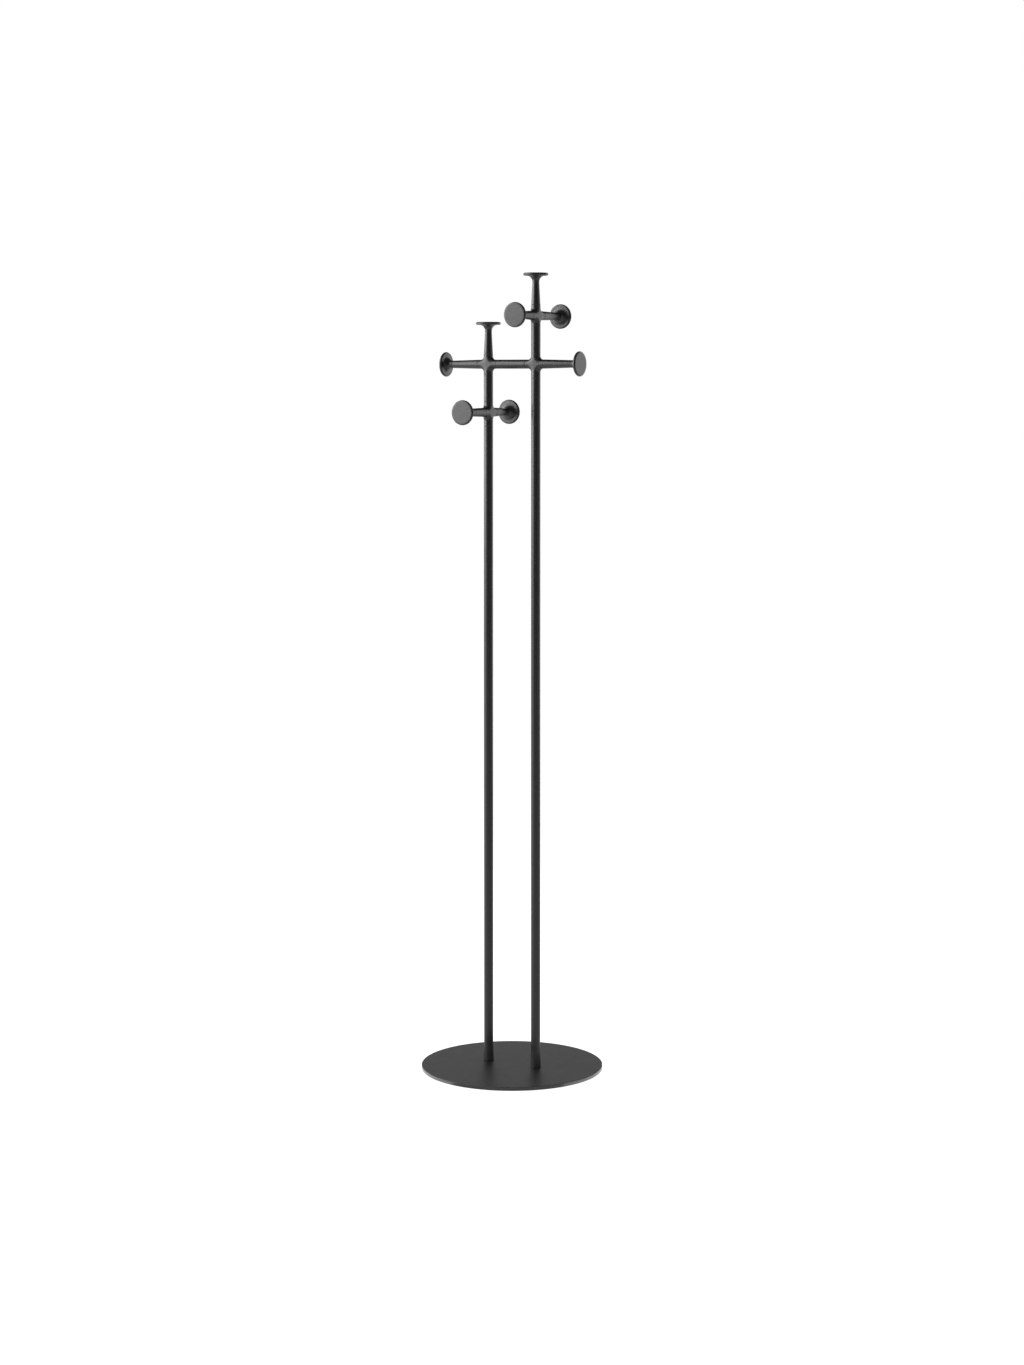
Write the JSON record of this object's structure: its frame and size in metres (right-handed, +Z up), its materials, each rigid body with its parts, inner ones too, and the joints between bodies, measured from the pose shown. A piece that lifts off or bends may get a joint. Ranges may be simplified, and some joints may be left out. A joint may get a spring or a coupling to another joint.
{
  "type": "standing coat rack",
  "caption": "Free-standing coat rack: round steel base, two poles of unequal height joined by a crossbar, and disc-ended hooks on cross hubs.",
  "frame": {"origin": "middle of the round footprint, on the floor, at the underside of the felt pads", "axes": "+Z up along the poles; the crossbar runs along X with the taller pole on the +X side; -Y is the front, where the lower left hub's long hook points"},
  "size_m": [0.3919, 0.392, 1.72],
  "materials": {
    "base_coat": "matt black powder coat with a fine orange-peel texture",
    "pole_coat": "matt black powder coat with a fine orange-peel texture",
    "hub_coat": "matt black powder coat with a fine orange-peel texture, over a cast surface",
    "bar_coat": "matt black powder coat with a fine orange-peel texture",
    "head_coat": "matt black powder coat with a fine orange-peel texture",
    "screw_steel": "zinc-plated steel, dull",
    "plug_steel": "bright turned steel",
    "stud_steel": "bright rolled steel",
    "pad_felt": "dark grey pressed felt"
  },
  "bodies": {
    "root": {"base_plate": "base_coat", "floor_pads": "pad_felt", "base_screws": "screw_steel", "left_foot": "pole_coat", "right_foot": "pole_coat", "left_pole": "pole_coat", "right_pole": "pole_coat", "left_pole_plug": "plug_steel", "right_pole_plug": "plug_steel", "lower_left_hub": "hub_coat", "crossbar_left_hub": "hub_coat", "crossbar_right_hub": "hub_coat", "upper_right_hub": "hub_coat", "crossbar": "bar_coat", "left_riser": "bar_coat", "right_riser": "bar_coat", "top_left_arm": "bar_coat", "top_right_arm": "bar_coat", "left_arm": "bar_coat", "right_arm": "bar_coat", "upper_front_arm": "bar_coat", "upper_back_arm": "bar_coat", "lower_front_arm": "bar_coat", "lower_back_arm": "bar_coat", "top_left_head": "head_coat", "top_right_head": "head_coat", "left_head": "head_coat", "right_head": "head_coat", "upper_front_head": "head_coat", "upper_back_head": "head_coat", "lower_front_head": "head_coat", "lower_back_head": "head_coat", "joint_studs": "stud_steel", "head_studs": "stud_steel"}
  },
  "joints": []
}
